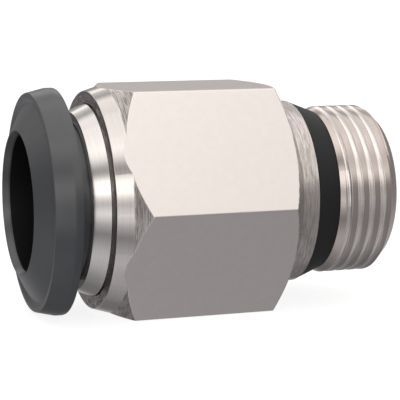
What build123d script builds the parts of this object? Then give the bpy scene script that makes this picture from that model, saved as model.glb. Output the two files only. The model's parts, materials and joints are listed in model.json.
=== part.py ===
from build123d import *

import os
from math import cos, pi, radians, tan

# A straight push-in fitting for an air line: a hexagon body with a sealed port thread at one
# end, and at the other a release ring that is pushed in to let the tube go.
#
# Millimetres. The fitting's axis is X, with the thread at +X and the tube entry at -X.
# Z is the normal of an upper hexagon flat, so the fitting lies on the flat below.
# The origin is on the axis, in the plane of the sealing face.
# A place along the axis is its distance from the sealing face, positive towards the tube entry.

# The tube and the way through
tube_diameter = 10.0
entry_clearance = 0.14
guide_clearance = 0.07
guide_length = 3.05
tube_stop = 1.5
flow_diameter = 8.0
flow_chamfer = 0.3

# The hexagon and the body's front
across_flats = 17.0
body_front = 16.13
front_wall = 1.27
front_taper_length = 1.25
front_taper_angle = 17.0
front_chamfer_angle = 42.0
rear_chamfer_angle = 30.0
mouth_chamfer = 0.15

# The flange, the seal's groove and the thread's outside
flange_step = 0.5
flange_length = 1.3
groove_depth = 0.98
groove_width = 2.03
thread_diameter = 13.157
thread_reach = 6.98
thread_lead_angle = 32.0
thread_end_chamfer = 0.86

# The port seal
port_seal_clearance = 0.02
port_seal_step = 0.03
port_seal_toe = 0.67

# The retaining sleeve
sleeve_proud = 1.3
sleeve_cone_angle = 24.0
sleeve_flange_width = 0.32
sleeve_lip = 1.0
sleeve_wall = 0.45
sleeve_press = 0.02
sleeve_lead = 0.2
sleeve_edge_chamfer = 0.06

# The release ring
press_travel = 1.12
travel_margin = 0.04
neck_wall = 0.86
neck_clearance = 0.08
head_thickness = 1.98
head_overhang = 0.05
head_land = 0.56
head_side_angle = 13.5
head_rim_width = 0.34
head_back_chamfer = 0.08
nose_height = 0.94
nose_valley_depth = 0.15
nose_valley_width = 0.39
nose_tip_width = 0.29
entry_chamfer_depth = 0.54
barb_height = 0.4
barb_length = 1.0
barb_ramp = 0.5
barb_clearance = 0.15
barb_gap = 0.06
slot_width = 0.9
slot_count = 4
slot_reserve = 0.6

# The toothed grip ring
grip_thickness = 0.35
grip_clearance = 0.05
grip_rim_width = 0.75
tooth_count = 16
tooth_angle = 40.0
tooth_bite = 0.15
tooth_gap = 0.5

# The support ring
support_length = 2.2
support_clearance = 0.04
support_hole_clearance = 0.15
support_recess_angle = 50.0
support_recess_margin = 0.1

# The tube seal
seal_height = 1.78
seal_width = 1.78
seal_lip_height = 0.5
seal_lip_width = 0.5
seal_squeeze = 0.12
seal_rim_clearance = 0.04
seal_side_clearance = 0.21

# How far a cutter goes past what it cuts
overcut = 1.0

# Radii that follow
tube_radius = tube_diameter / 2
flat_radius = across_flats / 2
corner_radius = flat_radius / cos(pi / 6)
thread_radius = thread_diameter / 2
groove_radius = thread_radius - groove_depth
flange_radius = thread_radius + flange_step
flow_radius = flow_diameter / 2
guide_radius = tube_radius + guide_clearance
seal_hole_radius = tube_radius - seal_squeeze
seal_rim_radius = seal_hole_radius + seal_height
gland_radius = seal_rim_radius + seal_rim_clearance
entry_radius = tube_radius + entry_clearance
neck_radius = entry_radius + neck_wall
lip_radius = neck_radius + neck_clearance
barb_radius = neck_radius + barb_height
recess_radius = barb_radius + barb_clearance
sleeve_radius = recess_radius + sleeve_wall
mouth_radius = sleeve_radius - sleeve_press
grip_radius = mouth_radius - grip_clearance
tooth_root_radius = grip_radius - grip_rim_width
tooth_tip_radius = tube_radius - tooth_bite
port_seal_toe_radius = groove_radius + port_seal_toe

# Places along the axis that follow, from the tube stop out to the entry
gland_start = tube_stop + guide_length
support_start = gland_start + seal_width + 2 * seal_side_clearance
grip_start = support_start + support_length
sleeve_start = grip_start + grip_thickness
sleeve_front = body_front + sleeve_proud
lip_back = sleeve_front - sleeve_lip
head_back = sleeve_front + press_travel + travel_margin
head_front = head_back + head_thickness
nose_front = head_front + nose_height

# The teeth lean in, away from the entry, and so does the release ring's tip that meets them.
tooth_slope = tan(radians(tooth_angle))
tooth_rise = grip_thickness / cos(radians(tooth_angle))


def turned(points):
    """A closed half section of (place, radius) points, spun about the axis."""
    corners = [(-place, radius) for place, radius in points]
    section = make_face(Polyline(*corners, close=True))
    return revolve(Plane.XZ * section, Axis.X)


def tooth_back(radius):
    """The place of the teeth's inner surface at a radius."""
    return grip_start - (tooth_root_radius - radius) * tooth_slope


def tooth_front(radius):
    """The place of the teeth's outer surface at a radius."""
    return tooth_back(radius) + tooth_rise


def make_body():
    """The body, turned from hexagon bar: a turned envelope where it meets the bar, bored out."""
    front_radius = mouth_radius + front_wall
    taper_end = body_front - front_taper_length
    taper_radius = front_radius + front_taper_length * tan(radians(front_taper_angle))
    over_corner = corner_radius + overcut
    front_cone = (over_corner - taper_radius) * tan(radians(front_chamfer_angle))
    rear_cone = (over_corner - flange_radius) * tan(radians(rear_chamfer_angle))
    lead_length = (thread_radius - port_seal_toe_radius) / tan(radians(thread_lead_angle))
    envelope = turned(
        [
            (body_front, 0),
            (body_front, front_radius),
            (taper_end, taper_radius),
            (taper_end - front_cone, over_corner),
            (flange_length + rear_cone, over_corner),
            (flange_length, flange_radius),
            (0, flange_radius),
            (0, groove_radius),
            (-groove_width, groove_radius),
            (-groove_width, port_seal_toe_radius),
            (-groove_width - lead_length, thread_radius),
            (thread_end_chamfer - thread_reach, thread_radius),
            (-thread_reach, thread_radius - thread_end_chamfer),
            (-thread_reach, 0),
        ]
    )
    hexagon = Plane.YZ * RegularPolygon(flat_radius, 6, major_radius=False)
    bar = Pos(-body_front) * extrude(hexagon, body_front + thread_reach)
    bore = turned(
        [
            (body_front + overcut, 0),
            (body_front + overcut, mouth_radius + mouth_chamfer),
            (body_front, mouth_radius + mouth_chamfer),
            (body_front - mouth_chamfer, mouth_radius),
            (support_start, mouth_radius),
            (support_start, gland_radius),
            (gland_start, gland_radius),
            (gland_start, guide_radius),
            (tube_stop, guide_radius),
            (tube_stop, flow_radius),
            (flow_chamfer - thread_reach, flow_radius),
            (-thread_reach, flow_radius + flow_chamfer),
            (-thread_reach - overcut, flow_radius + flow_chamfer),
            (-thread_reach - overcut, 0),
        ]
    )
    return (envelope & bar) - bore


def make_port_seal():
    """The conical seal, snapped into the groove and standing a little in from the flange's edge."""
    inner = groove_radius + port_seal_clearance
    near = -port_seal_clearance
    far = port_seal_clearance - groove_width
    return turned(
        [
            (near, inner),
            (near, flange_radius - port_seal_step),
            (far, port_seal_toe_radius),
            (far, inner),
        ]
    )


def make_retaining_sleeve():
    """The sleeve: its flange sits on the body's face and its lip holds the release ring's barbs."""
    cone_base = mouth_radius + sleeve_flange_width
    cone_front = cone_base - sleeve_proud * tan(radians(sleeve_cone_angle))
    return turned(
        [
            (sleeve_start, recess_radius),
            (lip_back, recess_radius),
            (lip_back, lip_radius),
            (sleeve_front - sleeve_edge_chamfer, lip_radius),
            (sleeve_front, lip_radius + sleeve_edge_chamfer),
            (sleeve_front, cone_front),
            (body_front, cone_base),
            (body_front, sleeve_radius),
            (sleeve_start + sleeve_lead, sleeve_radius),
            (sleeve_start, sleeve_radius - sleeve_lead),
        ]
    )


def make_release_ring():
    """The release ring: a broad head to press, and a split neck that snaps behind the lip."""
    press = press_travel + travel_margin
    barb_front = lip_back - barb_gap
    barb_back = barb_front - barb_length
    head_radius = flat_radius + head_overhang
    land_front = head_back + head_land
    rim_radius = head_radius - (head_front - land_front) * tan(radians(head_side_angle))
    valley_radius = rim_radius - head_rim_width - nose_valley_width
    ring = turned(
        [
            (tooth_front(entry_radius) + press, entry_radius),
            (tooth_front(neck_radius) + press, neck_radius),
            (barb_back - barb_ramp, neck_radius),
            (barb_back, barb_radius),
            (barb_front, barb_radius),
            (barb_front, neck_radius),
            (head_back, neck_radius),
            (head_back, head_radius - head_back_chamfer),
            (head_back + head_back_chamfer, head_radius),
            (land_front, head_radius),
            (head_front, rim_radius),
            (head_front, rim_radius - head_rim_width),
            (head_front - nose_valley_depth, valley_radius),
            (nose_front, entry_radius + nose_tip_width),
            (nose_front - entry_chamfer_depth, entry_radius),
        ]
    )
    slot_end = sleeve_front - slot_reserve
    slot_length = slot_end - tube_stop
    slot = Pos(slot_length / 2 - slot_end) * SlotOverall(slot_length, slot_width)
    cutter = extrude(slot, sleeve_radius)
    for step in range(slot_count):
        ring -= Rot(X=45 + 360 * step / slot_count) * cutter
    return ring


def make_grip_ring():
    """The grip ring: a flat rim held by the sleeve, and teeth of the same sheet bent inwards."""
    bend_radius = tooth_root_radius - (tooth_rise - grip_thickness) / tooth_slope
    ring = turned(
        [
            (grip_start, grip_radius),
            (sleeve_start, grip_radius),
            (sleeve_start, bend_radius),
            (tooth_front(tooth_tip_radius), tooth_tip_radius),
            (tooth_back(tooth_tip_radius), tooth_tip_radius),
            (grip_start, tooth_root_radius),
        ]
    )
    gap = Pos(tooth_root_radius / 2) * Rectangle(tooth_root_radius, tooth_gap)
    cutter = Pos(-sleeve_start) * extrude(Plane.YZ * gap, sleeve_start)
    for step in range(tooth_count):
        ring -= Rot(X=360 * step / tooth_count) * cutter
    return ring


def make_support_ring():
    """The support ring: a flat back for the seal and a hollow face that the teeth bend into."""
    hole = tube_radius + support_hole_clearance
    outer = mouth_radius - support_clearance
    mouth = tooth_root_radius + support_recess_margin
    recess = (mouth - hole) * tan(radians(support_recess_angle))
    return turned(
        [
            (support_start, hole),
            (support_start, outer),
            (grip_start, outer),
            (grip_start, mouth),
            (grip_start - recess, hole),
        ]
    )


def make_tube_seal():
    """The tube seal, with a flat rim and a blunt lip, as it is before a tube squeezes it."""
    back = gland_start + seal_side_clearance
    front = back + seal_width
    shoulder_radius = seal_hole_radius + seal_lip_height
    lip_inset = (seal_width - seal_lip_width) / 2
    return turned(
        [
            (back, seal_rim_radius),
            (front, seal_rim_radius),
            (front, shoulder_radius),
            (front - lip_inset, seal_hole_radius),
            (back + lip_inset, seal_hole_radius),
            (back, shoulder_radius),
        ]
    )


def main():
    os.makedirs("parts", exist_ok=True)
    pieces = {
        "body": make_body(),
        "port_seal": make_port_seal(),
        "retaining_sleeve": make_retaining_sleeve(),
        "release_ring": make_release_ring(),
        "grip_ring": make_grip_ring(),
        "support_ring": make_support_ring(),
        "tube_seal": make_tube_seal(),
    }
    for name, piece in pieces.items():
        export_step(piece, f"parts/{name}.step")
        print(name, round(piece.volume, 2), "mm3")


main()
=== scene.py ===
# %% [markdown]
# # A push-in fitting, dressed for its picture
#
# The real thing is a turned brass body with nickel plating, a hexagon for the spanner, a rubber port
# seal, a fine external thread, and at the other end a polished collar that holds a dark plastic ring.
# The engineering model already has every piece at its real size. This script loads it as a fixed
# frame and gives each piece the surface that it has on the bench.

import json
from math import acos, atan, cos, degrees, pi, radians, sin, sqrt, tan

import bmesh
import bpy
from mathutils import Matrix, Vector


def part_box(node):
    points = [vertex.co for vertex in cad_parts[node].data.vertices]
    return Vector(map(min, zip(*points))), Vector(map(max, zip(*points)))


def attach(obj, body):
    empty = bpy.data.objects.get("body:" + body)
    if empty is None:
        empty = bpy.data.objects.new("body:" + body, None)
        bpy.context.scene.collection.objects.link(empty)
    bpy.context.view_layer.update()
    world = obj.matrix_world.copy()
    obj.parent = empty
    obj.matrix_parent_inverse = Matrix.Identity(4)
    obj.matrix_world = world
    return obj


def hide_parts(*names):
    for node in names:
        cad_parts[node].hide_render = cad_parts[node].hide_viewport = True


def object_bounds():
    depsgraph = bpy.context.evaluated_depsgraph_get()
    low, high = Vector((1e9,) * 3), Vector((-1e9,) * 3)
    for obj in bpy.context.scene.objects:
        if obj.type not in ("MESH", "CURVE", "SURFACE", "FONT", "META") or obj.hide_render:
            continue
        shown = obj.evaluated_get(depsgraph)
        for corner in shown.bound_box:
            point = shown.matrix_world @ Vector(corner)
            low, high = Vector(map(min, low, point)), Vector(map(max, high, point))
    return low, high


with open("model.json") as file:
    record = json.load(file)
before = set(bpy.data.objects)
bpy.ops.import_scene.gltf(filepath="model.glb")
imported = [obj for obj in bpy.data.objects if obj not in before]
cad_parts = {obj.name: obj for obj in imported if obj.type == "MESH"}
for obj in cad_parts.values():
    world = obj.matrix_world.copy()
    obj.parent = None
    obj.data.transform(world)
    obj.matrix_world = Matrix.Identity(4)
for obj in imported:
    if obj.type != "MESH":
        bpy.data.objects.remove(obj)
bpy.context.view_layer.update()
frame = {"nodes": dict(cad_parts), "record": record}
print("pieces:", sorted(frame["nodes"]))

# %% [markdown]
# Blender works in metres, but a fitting is drawn in millimetres, so every size below is in
# millimetres and is turned into metres only where a mesh is made. A place along the axis is its
# distance from the sealing face, positive towards the tube entry, which is the frame's -X.
# The main sizes are read from the frame, so the dressed pieces sit where the model says.

# %% Read the main sizes
MM = 0.001
body_low, body_high = (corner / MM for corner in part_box("body"))
ring_low, ring_high = (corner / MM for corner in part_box("release_ring"))
collar_low, collar_high = (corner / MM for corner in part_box("retaining_sleeve"))
seal_low, seal_high = (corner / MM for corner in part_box("port_seal"))
mounts = {mount["name"]: mount["dims"] for mount in frame["record"]["mounts"]}

body_front = -body_low.x
thread_reach = body_high.x
flat_radius = body_high.z
thread_radius = mounts["port_thread"]["r_mm"]
flow_radius = mounts["flow_bore"]["r_mm"]
entry_radius = mounts["tube_entry"]["r_mm"]
print(f"body front {body_front:.2f}, thread end {thread_reach:.2f}, across flats {2 * flat_radius:.2f} mm")

# %% [markdown]
# ## Turned walls
#
# Every piece here was turned on a lathe or moulded to a turned shape, so each one is described by its
# half section: a closed run of corners, each with a place and a radius. A real edge is never
# perfectly sharp, and it is the small eased edge that catches the light. So each corner also has the
# width of its easing, and the name of the finish on the wall that follows it.

# %% Ease the corners of a half section
def eased(corners):
    """The (place, radius, finish) rows of a closed half section, with eased corners bent in two steps."""
    rows = []
    for number, (place, radius, ease, finish) in enumerate(corners):
        corner = Vector((place, radius))
        before = Vector(corners[number - 1][:2]) - corner
        after = Vector(corners[(number + 1) % len(corners)][:2]) - corner
        width = min(ease, 0.45 * before.length, 0.45 * after.length)
        if width == 0:
            rows.append((place, radius, finish))
            continue
        start = corner + before.normalized() * width
        end = corner + after.normalized() * width
        middle = (start + 2 * corner + end) / 4
        rows += [(*point, finish) for point in (start, middle, end)]
    return rows


# %% Lay quads between neighbouring columns
def add_wall(shell, angles, rows_at, finishes, ahead=0):
    """A wall of quads round the axis. ahead is how many rows a screw thread has moved on after a turn."""
    columns = []
    for angle in angles:
        rows = rows_at(angle)
        y, z = cos(angle), sin(angle)
        columns.append([shell.verts.new((-place, radius * y, radius * z)) for place, radius, _ in rows])
    slots = [finishes.index(row[2]) for row in rows]
    for number, left in enumerate(columns):
        right = columns[(number + 1) % len(columns)]
        step = ahead if number == len(columns) - 1 else 0
        for row in range(len(left) - 1 - step):
            corners = (left[row], left[row + 1], right[row + 1 + step], right[row + step])
            face = shell.faces.new(corners)
            face.material_index = slots[row]
            face.smooth = True


# %% [markdown]
# Columns meet at doubled points where a wall closes on itself, so those are merged. Then the shading
# is set: an edge sharper than 50 degrees stays crisp, and the weighted normals let each large wall
# keep its own direction, so that only the narrow easing between two walls bends the light. The
# weighting drops faces as small as these are in metres, so it is done while the mesh is still in
# millimetres, and the scale comes last.

# %% Finish a shell as a piece
def settle(piece):
    """Applies a piece's modifiers."""
    graph = bpy.context.evaluated_depsgraph_get()
    graph.update()
    final = bpy.data.meshes.new_from_object(
        piece.evaluated_get(graph), preserve_all_data_layers=True, depsgraph=graph)
    piece.modifiers.clear()
    piece.data = final


def finish_piece(shell, name, body, cad_node, cutters=()):
    """Turns the shell into an object that rides on a body and stands for a piece of the model."""
    bmesh.ops.remove_doubles(shell, verts=shell.verts, dist=1e-4)
    bmesh.ops.recalc_face_normals(shell, faces=shell.faces)
    open_edges = sum(1 for edge in shell.edges if len(edge.link_faces) != 2)
    mesh = bpy.data.meshes.new(name)
    shell.to_mesh(mesh)
    shell.free()
    piece = bpy.data.objects.new(name, mesh)
    bpy.context.collection.objects.link(piece)
    for cutter in cutters:
        cut = piece.modifiers.new("cut", "BOOLEAN")
        cut.operation = "DIFFERENCE"
        cut.solver = "EXACT"
        cut.object = cutter
    settle(piece)
    piece.data.set_sharp_from_angle(angle=radians(50))
    weights = piece.modifiers.new("weights", "WEIGHTED_NORMAL")
    weights.keep_sharp = True
    settle(piece)
    piece.data.transform(Matrix.Scale(MM, 4))
    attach(piece, body)
    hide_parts(cad_node)
    print(f"{name}: {len(piece.data.polygons)} faces, {open_edges} open edges")
    return piece


# %% [markdown]
# ## The body
#
# The body starts as hexagon bar. Turning the ends leaves curved edges where the cones run out on the
# six flats. Instead of cutting solids from each other, each column round the axis works out its own
# section: the turned outline, held in wherever the flat lies lower. The cones and the flats then meet
# exactly, and the wall stays an even grid of quads. Where the taper runs straight into a flat, the
# chamfer between them has no width, and only a sliver is kept so that every column has the same rows.

# %% Sizes of the body
front_radius = 8.25
front_taper_length = 1.25
front_taper_angle = radians(17)
front_chamfer_angle = radians(42)
rear_chamfer_angle = radians(30)
mouth_radius = 6.98
mouth_chamfer = 0.15
flange_over_seal = 0.03
flange_radius = seal_high.z + flange_over_seal
flange_length = 1.3
seal_groove_depth = 0.98
groove_radius = thread_radius - seal_groove_depth
groove_width = 2.03
toe_height = 0.67
toe_radius = groove_radius + toe_height
lead_angle = radians(32)
end_chamfer = 0.86
flow_chamfer = 0.3
guide_radius = 5.07
tube_stop = 1.5
gland_start = 4.55
gland_radius = 6.7
support_start = 6.75
edge_ease = 0.05
corner_round = 0.2
cone_sliver = 0.01

taper_end = body_front - front_taper_length
taper_radius = front_radius + front_taper_length * tan(front_taper_angle)


# %% The hexagon round the axis
def hexagon_at(angle):
    """The radius of the hexagon bar in a direction, with its long corners slightly rounded."""
    off_corner = abs((angle + pi / 6) % (pi / 3) - pi / 6)
    if off_corner < rounding_reach:
        sideways = round_centre * sin(off_corner)
        return round_centre * cos(off_corner) + sqrt(corner_round**2 - sideways**2)
    return flat_radius / cos(pi / 6 - off_corner)


round_centre = (flat_radius - corner_round) / cos(pi / 6)
rounding_reach = atan(corner_round * sin(pi / 6) / (round_centre + corner_round * cos(pi / 6)))
run_out = acos(flat_radius / taper_radius)


def body_angles(flat_steps=24):
    """Directions round the axis: even over the flats, close together at the long corners."""
    side = [rounding_reach * share for share in (-1, -0.5, 0, 0.5, 1)]
    span = pi / 3 - 2 * rounding_reach
    side += [rounding_reach + span * step / flat_steps for step in range(1, flat_steps)]
    side += [pi / 6 - run_out, pi / 6 + run_out]
    return sorted((corner * pi / 3 + angle) % (2 * pi) for corner in range(6) for angle in side)


print(f"{len(body_angles())} columns; the taper runs out {degrees(run_out):.1f} degrees from a flat's middle")

# %% [markdown]
# ## The thread
#
# The thread is a right-handed groove, so its rows of points follow a helix: after one turn each row
# has moved on by one pitch and joins the row that started one pitch further. The rows are held
# between the lead cone and the end chamfer, where they run out on a circle, as a cut thread does.

# %% The thread's groove
pitch = 0.92
valley_place = 2.68
groove_shape = ((-0.035, 0.25), (0.035, 0.25), (0.2, 0.05), (0.235, 0.012), (0.27, 0.0), (0.5, 0.0),
                (0.73, 0.0), (0.765, 0.012), (0.8, 0.05))
turns_before = 3
turns_laid = 9
lead_end = groove_width + (thread_radius - toe_radius) / tan(lead_angle)
chamfer_start = thread_reach - end_chamfer


def groove_depth(turns):
    """How deep the groove is, at a share of a pitch from the middle of its valley."""
    shape = groove_shape + ((groove_shape[0][0] + 1, groove_shape[0][1]),)
    share = (turns - shape[0][0]) % 1 + shape[0][0]
    for (start, deep), (end, next_deep) in zip(shape, shape[1:]):
        if share <= end:
            return deep + (next_deep - deep) * (share - start) / (end - start)
    return 0.0


def thread_at(depth_in, angle):
    """The thread's radius, at a distance from the sealing face towards the thread's end."""
    turns = (depth_in - valley_place) / pitch - (angle / (2 * pi) - 0.5)
    crest = thread_radius - groove_depth(turns)
    lead = toe_radius + (depth_in - groove_width) * tan(lead_angle)
    end = thread_radius - (depth_in - chamfer_start)
    return min(crest, lead, end)


def thread_rows(angle):
    """The helical rows in one direction, held between the lead cone and the end chamfer."""
    first = valley_place - pitch * (turns_before + 0.5 - angle / (2 * pi))
    rows = []
    for turn in range(turns_laid):
        for share, _ in groove_shape:
            depth_in = min(max(first + (turn + share) * pitch, lead_end), chamfer_start)
            rows.append((-depth_in, thread_at(depth_in, angle), "thread"))
    return rows


# %% The body's section in one direction
def body_rows(angle):
    """The body's outside from the thread round the end and back to the thread, without the thread itself."""
    bar = hexagon_at(angle)
    if bar > taper_radius:
        taper_stop = (taper_end, taper_radius)
        flat_start = taper_end - (bar - taper_radius) * tan(front_chamfer_angle)
    else:
        flat_start = body_front - (bar - front_radius) / tan(front_taper_angle)
        taper_stop = (flat_start + cone_sliver, bar - cone_sliver * tan(front_taper_angle))
    flat_end = flange_length + (bar - flange_radius) * tan(rear_chamfer_angle)
    corners = [(-depth_in, thread_at(depth_in, angle), 0, "thread") for depth_in in end_depths]
    corners += [
        (-thread_reach, thread_radius - end_chamfer, edge_ease, "bored"),
        (-thread_reach, flow_radius + flow_chamfer, 0, "bored"),
        (flow_chamfer - thread_reach, flow_radius, 0, "bored"),
        (tube_stop, flow_radius, edge_ease, "bored"),
        (tube_stop, guide_radius, 0, "bored"),
        (gland_start, guide_radius, edge_ease, "bored"),
        (gland_start, gland_radius, 0, "bored"),
        (support_start, gland_radius, 0, "bored"),
        (support_start, mouth_radius, 0, "bored"),
        (body_front - mouth_chamfer, mouth_radius, 0, "bored"),
        (body_front, mouth_radius + mouth_chamfer, 0, "faced"),
        (body_front, front_radius, edge_ease, "polished"),
        (*taper_stop, edge_ease, "turned"),
        (flat_start, bar, edge_ease, "flat"),
        (flat_end, bar, edge_ease, "turned"),
        (flange_length, flange_radius, 0, "flange"),
        (0, flange_radius, edge_ease, "bored"),
        (0, groove_radius, 0, "bored"),
        (-groove_width, groove_radius, 0, "bored"),
    ]
    corners += [(-depth_in, thread_at(depth_in, angle), 0, "thread") for depth_in in lead_depths]
    return eased(corners)


lead_depths = [groove_width + (lead_end - groove_width) * share / 4 for share in range(5)]
end_depths = [chamfer_start + end_chamfer * share / 8 for share in range(4)]
print(f"thread from {lead_end:.2f} to {chamfer_start:.2f} mm beyond the sealing face")


# %% Build the body
FINISHES = ["flat", "turned", "polished", "faced", "flange", "thread", "bored"]
shell = bmesh.new()
add_wall(shell, body_angles(), body_rows, FINISHES)
add_wall(shell, body_angles(), thread_rows, FINISHES, ahead=len(groove_shape))
fitting_body = finish_piece(shell, "fitting_body", "fitting", "body")

# %% [markdown]
# ## The collar and the port seal
#
# The collar is a polished cone, pressed into the mouth of the body. Its face is narrow and its edges
# are only broken, not rounded over. Its cone stops just short of the body's face, which leaves the fine
# dark line between the two. The seal is moulded rubber, so its corners are softer.

# %% Build the collar and the seal
EVEN = [2 * pi * step / 180 for step in range(180)]


def turned_piece(name, corners, body, cad_node):
    """A piece with the same section all the way round."""
    rows = eased([(*corner, "plain") for corner in corners])
    shell = bmesh.new()
    add_wall(shell, EVEN, lambda angle: rows + rows[:1], ["plain"])
    return finish_piece(shell, name, body, cad_node)


collar_front, collar_back = -collar_low.x, -collar_high.x
collar_base = collar_high.z
collar_cone_angle = radians(24)
collar_tip = collar_base - (collar_front - body_front) * tan(collar_cone_angle)
lip_radius, recess_radius, sleeve_radius = 6.08, 6.55, 7.0
lip_length = 1.0
sleeve_lead = 0.2
undercut = 0.09
collar = turned_piece("collar", [
    (collar_back, recess_radius, 0),
    (collar_front - lip_length, recess_radius, 0),
    (collar_front - lip_length, lip_radius, 0),
    (collar_front, lip_radius, 0.05),
    (collar_front, collar_tip, 0.02),
    (body_front + undercut, collar_base, 0.02),
    (body_front + undercut, sleeve_radius, 0),
    (collar_back + sleeve_lead, sleeve_radius, 0),
    (collar_back, sleeve_radius - sleeve_lead, 0),
], "fitting", "retaining_sleeve")

seal_near, seal_far = -seal_low.x, -seal_high.x
seal_bore = groove_radius + 0.02
soft_seal = turned_piece("soft_port_seal", [
    (seal_near, seal_bore, 0.05),
    (seal_near, seal_high.z, 0.08),
    (seal_far, toe_radius, 0.08),
    (seal_far, seal_bore, 0.05),
], "fitting", "port_seal")

# %% [markdown]
# ## The release ring
#
# The ring is moulded in one piece: a broad head to press with a spanner or two fingers, and a neck
# that four slots split into springy fingers. Its section is laid round the axis like the others. The
# slots are cut out with four round-ended bars, because they pass through the barbs and the tip's cone.

# %% Sizes of the release ring
ring_front, tip_place = -ring_low.x, -ring_high.x
head_radius = ring_high.z
nose_height = 0.94
head_thickness = 1.98
head_land = 0.56
head_side_angle = radians(13.5)
head_front = ring_front - nose_height
head_back = head_front - head_thickness
land_front = head_back + head_land
rim_radius = head_radius - (head_front - land_front) * tan(head_side_angle)
neck_radius = 6.0
rim_width = 0.34
valley_depth, valley_width = 0.15, 0.39
nose_tip_width = 0.29
entry_chamfer = 0.54
tip_cone_angle = radians(40)
barb_radius = 6.4
barb_land = 1.0
barb_rise = 0.5
barb_clearance = 0.06
barb_front = collar_front - lip_length - barb_clearance
slot_end = collar_front - 0.6
slot_width = 0.9
slot_overrun = 1
slot_reach_in, slot_reach_out = 1.2, 0.3
print(f"ring head {head_back:.2f} to {head_front:.2f}, rim radius {rim_radius:.2f} mm")

ring_rows = eased([(*corner, "plain") for corner in [
    (tip_place, entry_radius, 0),
    (tip_place + (neck_radius - entry_radius) * tan(tip_cone_angle), neck_radius, 0),
    (barb_front - barb_land - barb_rise, neck_radius, 0),
    (barb_front - barb_land, barb_radius, 0),
    (barb_front, barb_radius, 0.04),
    (barb_front, neck_radius, 0),
    (head_back, neck_radius, 0),
    (head_back, head_radius, 0.08),
    (land_front, head_radius, 0.1),
    (head_front, rim_radius, 0.06),
    (head_front, rim_radius - rim_width, 0.03),
    (head_front - valley_depth, rim_radius - rim_width - valley_width, 0.02),
    (ring_front, entry_radius + nose_tip_width, 0.05),
    (ring_front - entry_chamfer, entry_radius, 0.05),
]])


# %% Cut the slots that make its neck springy
def slot_cutter(angle):
    """A bar with a round end, lying along the axis and reaching out through the neck."""
    shell = bmesh.new()
    half = slot_width / 2
    centre = slot_end - half
    outline = [(tip_place - slot_overrun, half), (tip_place - slot_overrun, -half)]
    turns = [pi * step / 12 for step in range(13)]
    outline += [(centre + half * sin(turn), -half * cos(turn)) for turn in turns]
    layers = []
    for height in (entry_radius - slot_reach_in, barb_radius + slot_reach_out):
        layers.append([shell.verts.new((
            -place,
            height * cos(angle) - across * sin(angle),
            height * sin(angle) + across * cos(angle),
        )) for place, across in outline])
    shell.faces.new(layers[0])
    shell.faces.new(layers[1])
    for number in range(len(outline)):
        after = (number + 1) % len(outline)
        shell.faces.new((layers[0][number], layers[0][after], layers[1][after], layers[1][number]))
    bmesh.ops.recalc_face_normals(shell, faces=shell.faces)
    mesh = bpy.data.meshes.new("slot_cutter")
    shell.to_mesh(mesh)
    shell.free()
    cutter = bpy.data.objects.new("slot_cutter", mesh)
    bpy.context.collection.objects.link(cutter)
    return cutter


cutters = [slot_cutter(pi / 4 + step * pi / 2) for step in range(4)]
shell = bmesh.new()
add_wall(shell, EVEN, lambda angle: ring_rows + ring_rows[:1], ["plain"])
release_ring = finish_piece(shell, "moulded_ring", "release", "release_ring", cutters)
for cutter in cutters:
    bpy.data.objects.remove(cutter)

# %% [markdown]
# ## Shader arithmetic
#
# A finish is mostly arithmetic on noise and on the place in the piece. Blender does that with Math
# nodes, which are long to write. The class below holds one output socket and gives it the usual
# operators, so that a mask can be written as 1 - streaks * 0.3, with the nodes added behind it.

# %% A socket that can be calculated with
class Wire:
    """One output of a shader node. Arithmetic on it adds Math nodes to the same tree."""

    def __init__(self, tree, socket):
        self.tree = tree
        self.socket = socket

    def node(self, kind, settings=None, inputs=None, output=0):
        """Adds a node: its settings first, then the values or links of its sockets."""
        return add_node(self.tree, kind, settings, inputs, output)

    def math(self, operation, *values):
        inputs = dict(enumerate((self, *values)))
        return self.node("ShaderNodeMath", {"operation": operation}, inputs)

    def flipped(self, operation, value):
        return self.node("ShaderNodeMath", {"operation": operation}, {0: value, 1: self})

    def __add__(self, other):
        return self.math("ADD", other)

    def __sub__(self, other):
        return self.math("SUBTRACT", other)

    def __mul__(self, other):
        return self.math("MULTIPLY", other)

    def __truediv__(self, other):
        return self.math("DIVIDE", other)

    def __pow__(self, other):
        return self.math("POWER", other)

    def __rsub__(self, other):
        return self.flipped("SUBTRACT", other)

    def __rtruediv__(self, other):
        return self.flipped("DIVIDE", other)

    __radd__ = __add__
    __rmul__ = __mul__

    def between(self, low, high):
        """0 at low, 1 at high, and smooth in between."""
        settings = {"interpolation_type": "SMOOTHSTEP"}
        inputs = {"Value": self, "From Min": low, "From Max": high}
        return self.node("ShaderNodeMapRange", settings, inputs)


def add_node(tree, kind, settings=None, inputs=None, output=0):
    """One method for every kind of node. A ramp's stops are a setting: (position, brightness) pairs."""
    node = tree.nodes.new(kind)
    for name, value in (settings or {}).items():
        if name == "stops":
            set_stops(node.color_ramp, value)
        else:
            setattr(node, name, value)
    for name, value in (inputs or {}).items():
        if isinstance(value, Wire):
            tree.links.new(value.socket, node.inputs[name])
        else:
            node.inputs[name].default_value = value
    return Wire(tree, node.outputs[output]) if node.outputs else node


def set_stops(ramp, stops):
    """Gives a colour ramp its stops, from grey values."""
    for number, (position, tone) in enumerate(stops):
        stop = ramp.elements[number] if number < 2 else ramp.elements.new(position)
        stop.position = position
        stop.color = (tone, tone, tone, 1)


# %% [markdown]
# ## Places on a turned piece
#
# Turning leaves marks that run round the axis. Noise gets that direction for free when its
# coordinates are squeezed along the axis and stretched across it: the noise then changes quickly from
# one circle to the next, and slowly round each circle, with no seam anywhere.

# %% Start a finish
def new_finish(name):
    """A new material and its empty node tree."""
    material = bpy.data.materials.new(name)
    material.use_nodes = True
    material.node_tree.nodes.clear()
    return material, material.node_tree


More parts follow.
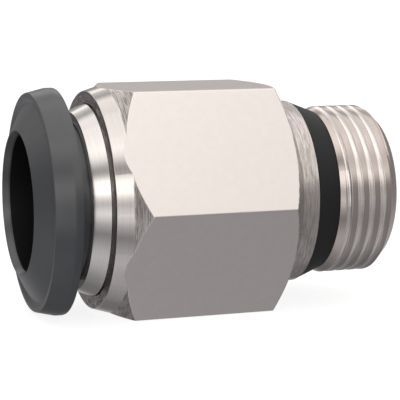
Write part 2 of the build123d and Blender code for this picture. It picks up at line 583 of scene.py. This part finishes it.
def place_on_piece(tree):
    """The place in the piece, in millimetres: along the axis, across, up, and the distance from the axis."""
    point = add_node(tree, "ShaderNodeTexCoord", output=3)
    x = point.node("ShaderNodeSeparateXYZ", None, {0: point}, 0) / MM
    y = point.node("ShaderNodeSeparateXYZ", None, {0: point}, 1) / MM
    z = point.node("ShaderNodeSeparateXYZ", None, {0: point}, 2) / MM
    radius = (y * y + z * z) ** 0.5
    return x, y, z, radius


def noise(tree, x, y, z, scale=1.0, detail=2.0, roughness=0.5):
    """Soft noise at a place given by three numbers."""
    point = add_node(tree, "ShaderNodeCombineXYZ", None, {0: x, 1: y, 2: z})
    inputs = {"Vector": point, "Scale": scale, "Detail": detail, "Roughness": roughness}
    return add_node(tree, "ShaderNodeTexNoise", None, inputs)


def mix_colours(factor, first, second):
    """A colour between two colours."""
    settings = {"data_type": "RGBA"}
    return factor.node("ShaderNodeMix", settings, {0: factor, 6: first, 7: second}, 2)


def surface(tree, base, roughness, bump=None, bump_depth=0.0, metallic=1.0, **fixed):
    """The Principled shader and the output. Whatever is the same all over goes straight on its socket."""
    inputs = {"Base Color": base, "Roughness": roughness, "Metallic": metallic}
    if bump is not None:
        relief = {"Strength": 1.0, "Distance": bump_depth * MM, "Height": bump}
        inputs["Normal"] = add_node(tree, "ShaderNodeBump", None, relief)
    for name, value in fixed.items():
        inputs[name.replace("_", " ")] = value
    shader = add_node(tree, "ShaderNodeBsdfPrincipled", None, inputs)
    add_node(tree, "ShaderNodeOutputMaterial", None, {0: shader})


# %% [markdown]
# ## Nickel, in several finishes
#
# The plating is the same all over, and what differs is the surface under it, except for two places of
# painted light. The flats are drawn bar: satin, with a fine and faint mottle. The cones at both ends of
# the hexagon, the flange and the face of the mouth show broken turning lines, and the face of the mouth
# is also coloured much darker, a painted shade under the ring's head. The band in front of the cones and
# the collar are polished, the thread is smooth with a painted highlight in its grooves, and the bores
# and the far end are plainly machined.

# %% The satin flats
def satin_nickel():
    material, tree = new_finish("satin_nickel_flats")
    x, y, z, radius = place_on_piece(tree)
    cloud = noise(tree, x, y, z, 1.6, 3.0)
    grain = noise(tree, x, y, z, 9.0, 4.0, 0.6)
    tone = (0.5 * cloud + 0.5 * grain).between(0.35, 0.65)
    base = mix_colours(tone, (0.84, 0.79, 0.765, 1), (0.87, 0.815, 0.785, 1))
    surface(tree, base, 0.26 + 0.08 * grain, grain, 0.0016)
    return material


# %% [markdown]
# Turning lines follow one another along a cylinder and outwards on a face. The sum of the radius and
# half the place along the axis changes steadily on both, and on the front and the rear cone, so the
# noise is read against that sum.

# %% The turned cones, the flange and the faced end
def turned_nickel(name, low, high, lines_per_mm=9):
    material, tree = new_finish(name)
    x, y, z, radius = place_on_piece(tree)
    across = (x * 0.5 + radius) * lines_per_mm
    lines = noise(tree, across, y * 0.8, z * 0.8, 1.0, 3.0, 0.6)
    fine = noise(tree, across * 3, y * 1.6, z * 1.6, 1.0, 2.0)
    streak = (0.65 * lines + 0.35 * fine).between(0.4, 0.6)
    base = mix_colours(streak, low, high)
    surface(tree, base, 0.4 - 0.16 * streak, lines, 0.012)
    return material


# %% The polished band and the collar
def polished_nickel(name, tint):
    material, tree = new_finish(name)
    x, y, z, radius = place_on_piece(tree)
    across = x + radius * 0.4
    lines = noise(tree, across * 14, y * 0.3, z * 0.3, 1.0, 2.0)
    base = mix_colours(lines.between(0.3, 0.7), tuple(0.94 * part for part in tint[:3]) + (1,), tint)
    surface(tree, base, 0.1 + 0.07 * lines, lines, 0.0006)
    return material


# %% [markdown]
# The grooves of the thread catch the light as bright lines between its darker crests, and the groove
# is given a much lighter colour to show them: a painted highlight. The lead cone and the end chamfer lie
# as deep as a groove but aren't on the helix, so they are left out of that mask by their place along
# the axis.

# %% The thread and the bores
def thread_nickel():
    material, tree = new_finish("thread_nickel")
    x, y, z, radius = place_on_piece(tree)
    lines = noise(tree, x * 16, y * 0.35, z * 0.35, 1.0, 2.0)
    past_lead = x.between(lead_end - 0.05, lead_end + 0.05)
    before_chamfer = x.between(chamfer_start + 0.05, chamfer_start - 0.05)
    # Painted highlight: the deeper into the groove, the lighter the colour.
    depth = (thread_radius - radius).between(0.0, 0.08) * past_lead * before_chamfer
    base = mix_colours(depth, (0.6, 0.535, 0.5, 1), (0.97, 0.94, 0.92, 1))
    surface(tree, base, 0.14 + 0.1 * lines, lines, 0.001)
    return material


def bored_nickel():
    material, tree = new_finish("bored_nickel")
    x, y, z, radius = place_on_piece(tree)
    lines = noise(tree, (x + radius) * 12, y * 0.5, z * 0.5, 1.0, 2.0)
    base = mix_colours(lines.between(0.3, 0.7), (0.5, 0.47, 0.44, 1), (0.6, 0.57, 0.54, 1))
    surface(tree, base, 0.3 + 0.12 * lines, lines, 0.003)
    return material


# %% Give the body its finishes
body_finishes = {
    "flat": satin_nickel(),
    "turned": turned_nickel("turned_nickel_cones", (0.36, 0.33, 0.31, 1), (0.82, 0.78, 0.75, 1)),
    "polished": polished_nickel("polished_nickel_band", (0.74, 0.70, 0.675, 1)),
    # Painted shade: the face of the mouth, under the ring's head, is coloured far darker than the other
    # turned nickel.
    "faced": turned_nickel("faced_nickel_end", (0.22, 0.19, 0.175, 1), (0.42, 0.38, 0.36, 1)),
    "flange": turned_nickel("turned_nickel_flange", (0.45, 0.415, 0.39, 1), (0.74, 0.69, 0.66, 1), 18),
    "thread": thread_nickel(),
    "bored": bored_nickel(),
}
for finish in FINISHES:
    fitting_body.data.materials.append(body_finishes[finish])
print("body finishes:", ", ".join(body_finishes))


def dress(piece, material):
    """Gives a whole piece one finish."""
    piece.data.materials.clear()
    piece.data.materials.append(material)
    print(f"{piece.name} is given {material.name}")


dress(collar, polished_nickel("polished_nickel_collar", (0.77, 0.745, 0.72, 1)))

# %% [markdown]
# ## Plastic, rubber and spring steel
#
# The ring is satin moulded plastic: a dark grey with a broad sheen and a very fine tooth from the
# mould. Its bore has a painted shade: a nearly black colour that stands for the depth of the bore,
# though the plastic there is the same. The seals are matt rubber. The grip ring inside is bright
# rolled steel.

# %% The ring's plastic
# Painted shade: the near-black colour given to a bore, standing in for its depth.
bore_painted_shade = (0.004, 0.004, 0.004, 1)


def moulded_plastic(name, base_dark, base_light, rough, sheen):
    material, tree = new_finish(name)
    x, y, z, radius = place_on_piece(tree)
    grain = noise(tree, x, y, z, 14.0, 3.0, 0.6)
    flow = noise(tree, x, y, z, 0.35, 2.0)
    outside = mix_colours(flow.between(0.3, 0.7), base_dark, base_light)
    # Painted shade: surfaces at the entry radius or nearer the axis are coloured near black, fading out over
    # 0.1 mm. This reaches any piece dressed in this plastic.
    base = mix_colours(radius.between(entry_radius, entry_radius + 0.1), bore_painted_shade, outside)
    surface(tree, base, rough - 0.04 + 0.1 * grain, grain, 0.002, metallic=0.0, Specular_IOR_Level=sheen)
    return material


def matt_rubber(name):
    material, tree = new_finish(name)
    x, y, z, radius = place_on_piece(tree)
    grain = noise(tree, x, y, z, 11.0, 3.0, 0.6)
    base = mix_colours(grain.between(0.3, 0.7), (0.011, 0.0115, 0.0125, 1), (0.017, 0.0175, 0.019, 1))
    surface(tree, base, 0.5 + 0.12 * grain, grain, 0.003, metallic=0.0, Specular_IOR_Level=0.3)
    return material


def spring_steel():
    material, tree = new_finish("rolled_spring_steel")
    x, y, z, radius = place_on_piece(tree)
    lines = noise(tree, x * 2, y * 9, z * 0.8, 1.0, 3.0)
    base = mix_colours(lines.between(0.3, 0.7), (0.5, 0.5, 0.5, 1), (0.66, 0.66, 0.65, 1))
    surface(tree, base, 0.22 + 0.14 * lines, lines, 0.002)
    return material


dress(release_ring, moulded_plastic(
    "dark_ring_plastic", (0.036, 0.041, 0.047, 1), (0.048, 0.054, 0.061, 1), 0.3, 1.0))
dress(soft_seal, matt_rubber("port_seal_rubber"))
dress(frame["nodes"]["tube_seal"], matt_rubber("tube_seal_rubber"))
dress(frame["nodes"]["grip_ring"], spring_steel())
dress(frame["nodes"]["support_ring"], moulded_plastic(
    "natural_support_plastic", (0.6, 0.59, 0.55, 1), (0.68, 0.67, 0.63, 1), 0.4, 0.5))

# %% [markdown]
# ## The studio
#
# Polished metal shows its surroundings more than its own colour, so the surroundings are part of the
# finish. They are a studio with three walls, one at the front left, one at the front right and one
# behind. Each wall is a run of light and dark bands that depend only on height: a bright ceiling, soft
# boxes in the middle and a dim floor. Only the camera sees plain white instead, by Light Path.

# %% The walls and soft boxes, by their height above the horizon
def tone_by_height(direction, bands):
    """A brightness for each height, from (degrees above the horizon, brightness) pairs."""
    brightest = max(tone for _, tone in bands)
    stops = [((sin(radians(height)) + 1) / 2, tone / brightest) for height, tone in bands]
    ramp = direction.node("ShaderNodeValToRGB", {"stops": stops}, {0: direction * 0.5 + 0.5})
    return ramp * brightest


front_left = [
    (-90, 0.45), (-70, 0.48), (-58, 0.58), (-50, 0.52), (-42, 0.4), (-31, 0.25), (-20, 0.5), (-9, 1.0),
    (2, 0.58), (8, 0.95), (13, 1.6), (25, 1.6), (30, 0.8), (36, 0.25), (41, 0.42), (46, 0.8),
    (52, 1.15), (58, 1.3), (68, 1.15), (90, 1.05),
]
front_right = [
    (-90, 0.38), (-65, 0.32), (-40, 0.27), (-8, 0.3), (11, 0.33), (19, 0.8), (28, 1.1), (36, 0.85),
    (46, 0.9), (52, 1.05), (63, 1.15), (75, 1.05), (90, 1.05),
]
behind = [
    (-90, 0.35), (-60, 0.2), (-43, 0.18), (-33, 0.25), (-22, 0.5), (-8, 0.3), (6, 0.28), (14, 0.36),
    (19, 0.55), (25, 1.4), (34, 0.7), (44, 0.45), (53, 1.2), (75, 1.05), (90, 1.05),
]
for wall, bands in (("front left", front_left), ("front right", front_right), ("behind", behind)):
    print(f"wall {wall}: {len(bands)} bands, brightest {max(tone for _, tone in bands)}")

world = bpy.data.worlds.new("studio")
bpy.context.scene.world = world
world.use_nodes = True
world.node_tree.nodes.clear()
sky = add_node(world.node_tree, "ShaderNodeTexCoord", output=0)
right = sky.node("ShaderNodeSeparateXYZ", None, {0: sky}, 0)
away = sky.node("ShaderNodeSeparateXYZ", None, {0: sky}, 1)
rise = sky.node("ShaderNodeSeparateXYZ", None, {0: sky}, 2)
on_right = right.between(-0.25, 0.2)
at_back = away.between(-0.15, 0.25).math("MAXIMUM", (-1 * right).between(0.78, 0.95))
front = tone_by_height(rise, front_left) * (1 - on_right) + tone_by_height(rise, front_right) * on_right
tone = front * (1 - at_back) + tone_by_height(rise, behind) * at_back
seen = add_node(world.node_tree, "ShaderNodeLightPath", output=0)
tint = mix_colours(rise.between(-0.3, 0.3), (0.99, 0.975, 1.0, 1), (1.0, 0.965, 0.94, 1))
studio = add_node(world.node_tree, "ShaderNodeBackground", None, {0: tint, 1: tone})
white = add_node(world.node_tree, "ShaderNodeBackground", None, {0: (1, 1, 1, 1), 1: 1.0})
shown = add_node(world.node_tree, "ShaderNodeMixShader", None, {0: seen, 1: studio, 2: white})
add_node(world.node_tree, "ShaderNodeOutputWorld", None, {0: shown})

# %% [markdown]
# The table is a plain pale sheet for the camera alone, which sees it almost white, with a faint soft
# shadow of the fitting. Every other ray passes through it, so the metal above reflects the lower bands
# of the studio in its place.

# %% The table
table_mesh = bpy.data.meshes.new("table")
reach = 3.0
below_part = 0.01 * MM
table_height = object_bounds()[0][2] - below_part
corners = [(-reach, -reach, table_height), (reach, -reach, table_height), (reach, reach, table_height),
           (-reach, reach, table_height)]
table_mesh.from_pydata(corners, [], [(0, 1, 2, 3)])
table = bpy.data.objects.new("table", table_mesh)
bpy.context.collection.objects.link(table)

material, tree = new_finish("pale_table")
pale = add_node(tree, "ShaderNodeBsdfDiffuse", None, {0: (0.3, 0.3, 0.3, 1)})
glow = add_node(tree, "ShaderNodeEmission", None, {0: (1, 1, 1, 1), 1: 0.86})
camera_look = add_node(tree, "ShaderNodeAddShader", None, {0: pale, 1: glow})
seen_by_camera = add_node(tree, "ShaderNodeLightPath", output=0)
clear = add_node(tree, "ShaderNodeBsdfTransparent")
look = add_node(tree, "ShaderNodeMixShader", None, {0: seen_by_camera, 1: clear, 2: camera_look})
add_node(tree, "ShaderNodeOutputMaterial", None, {0: look})
dress(table, material)


# %% A soft lamp over the table
def soft_lamp(name, size, place, target, power):
    """A square lamp that looks at a point, all in millimetres."""
    lamp = bpy.data.lights.new(name, "AREA")
    lamp.size = size * MM
    lamp.energy = power
    holder = bpy.data.objects.new(name, lamp)
    holder.location = Vector(place) * MM
    holder.rotation_euler = (Vector(target) - Vector(place)).to_track_quat("-Z", "Y").to_euler()
    bpy.context.collection.objects.link(holder)


soft_lamp("overhead_lamp", 400, (-60, -120, 300), (0, 0, 0), 0.06)

# %% [markdown]
# ## The camera
#
# The photograph looks at the fitting from the tube's side, a little from above, through a long lens.
# Its place and its lens were worked out from the circles and the hexagon's edges.

# %% Place the camera
camera_place = Vector((-46.9, -115.97, 17.59))
camera_azimuth = radians(-18.95)
camera_rise = radians(8.363)
camera_data = bpy.data.cameras.new("camera")
camera_data.sensor_width = 36
camera_data.lens = 143.8
camera_data.clip_start = 0.01
camera_data.clip_end = 20
camera = bpy.data.objects.new("camera", camera_data)
camera.location = camera_place * MM
camera.rotation_euler = (pi / 2 - camera_rise, 0, camera_azimuth)
bpy.context.collection.objects.link(camera)
bpy.context.scene.camera = camera
bpy.context.scene.view_settings.view_transform = "Standard"
print(f"camera {camera_place.length:.0f} mm from the sealing face, {camera_data.lens} mm lens")
